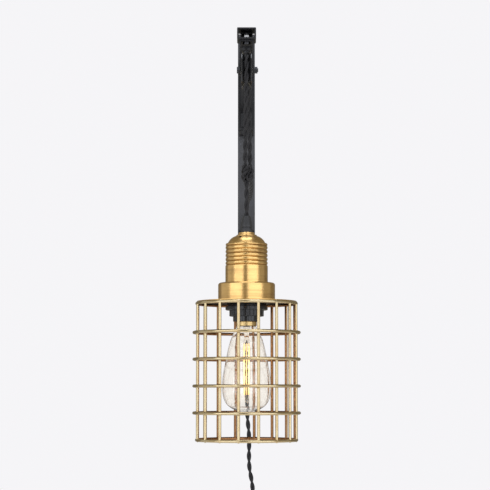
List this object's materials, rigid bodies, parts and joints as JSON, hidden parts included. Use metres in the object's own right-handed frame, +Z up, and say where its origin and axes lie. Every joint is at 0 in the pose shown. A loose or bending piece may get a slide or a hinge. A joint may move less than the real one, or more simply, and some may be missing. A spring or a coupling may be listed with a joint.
{
  "type": "swing arm wall light",
  "caption": "Wall light: black hinged arm with a cord pulley, and a caged brass pendant lamp hanging from it on twisted black cloth cord.",
  "frame": {"origin": "on the wall, midway between the two wall screws of the rail", "axes": "+Z up, +Y into the wall, so the arm stands out along -Y; +X to the right when facing the wall"},
  "size_m": [0.1404, 0.3202, 0.8595],
  "materials": {
    "rail_steel": "satin black paint",
    "arm_steel": "satin black paint",
    "black_screws": "black oxide",
    "bush_bronze": "plain bronze",
    "spacer_nylon": "natural nylon",
    "cloth_cord": "braided cloth",
    "black_rubber": "matte moulded",
    "blade_brass": "plain brass",
    "antique_brass": "brushed antique brass, turned",
    "cage_brass": "antique brass plated wire",
    "black_phenolic": "gloss phenolic",
    "bulb_glass": "clear",
    "filament_wire": "glowing"
  },
  "bodies": {
    "wall": {"wall_rail": "rail_steel", "hinge_bracket_lower": "rail_steel", "hinge_bracket_upper": "rail_steel", "rail_screws": "black_screws", "hinge_pin": "black_screws", "rail_cord_clip": "rail_steel", "wall_cord": "cloth_cord", "cord_coil": "cloth_cord", "coil_tie": "black_rubber", "end_cord": "cloth_cord", "plug_strain_relief": "black_rubber", "plug_body": "black_rubber", "plug_blades": "blade_brass"},
    "arm": {"hinge_barrel": "arm_steel", "hinge_bushes": "bush_bronze", "post_plate": "arm_steel", "arm_tube": "arm_steel", "arm_end_box": "arm_steel", "arm_brace": "arm_steel", "brace_bolts": "black_screws", "pulley_yoke": "arm_steel", "yoke_bolt": "black_screws", "yoke_nut": "black_screws", "pulley_axle_bolt": "black_screws", "axle_nut": "black_screws", "axle_washer": "black_screws", "axle_spacers": "spacer_nylon", "pulley_cord_loop": "cloth_cord", "cord_knot": "cloth_cord", "tail_cord": "cloth_cord"},
    "pulley": {"pulley_wheel": "arm_steel", "pulley_bush": "bush_bronze"},
    "lamp_hanger": {"lamp_cord": "cloth_cord"},
    "lamp": {"cord_grip": "black_rubber", "brass_collar": "antique_brass", "socket_shell": "antique_brass", "dome_set_screw": "black_screws", "cage_cup": "antique_brass", "threaded_nipple": "blade_brass", "nipple_nut": "black_screws", "lampholder_cap": "black_phenolic", "lampholder_body": "black_phenolic", "shade_ring": "black_phenolic", "contact_block": "black_phenolic", "terminal_screws": "blade_brass", "inner_leads": "cloth_cord", "screw_shell_liner": "blade_brass", "centre_contact": "blade_brass", "cage_top_plate": "cage_brass", "cage_top_ring": "cage_brass", "cage_bottom_ring": "cage_brass", "cage_rings": "cage_brass", "cage_bars": "cage_brass"},
    "bulb": {"bulb_cap": "blade_brass", "bulb_insulator": "black_phenolic", "bulb_contact": "blade_brass", "bulb_glass": "bulb_glass", "bulb_stem": "bulb_glass", "filament_supports": "filament_wire", "filament": "filament_wire"}
  },
  "joints": [
    {"name": "arm_swing", "type": "hinge", "parent": "wall", "child": "arm", "pos_m": [0, -0.018, 0.05], "axis": [0, 0, 1], "range_deg": [-75, 75]},
    {"name": "pulley_spin", "type": "hinge", "parent": "arm", "child": "pulley", "pos_m": [0, -0.25, 0.048], "axis": [1, 0, 0], "continuous": true},
    {"name": "lamp_swing_in_out", "type": "hinge", "parent": "arm", "child": "lamp_hanger", "pos_m": [0, -0.25, -0.104], "axis": [1, 0, 0], "range_deg": [-20, 20]},
    {"name": "lamp_swing_sideways", "type": "hinge", "parent": "lamp_hanger", "child": "lamp", "pos_m": [0, -0.25, -0.104], "axis": [0, 1, 0], "range_deg": [-20, 20]},
    {"name": "bulb_unscrew", "type": "hinge", "parent": "lamp", "child": "bulb", "pos_m": [0, -0.25, -0.275], "axis": [0, 0, 1], "range_deg": [0, 720]}
  ]
}
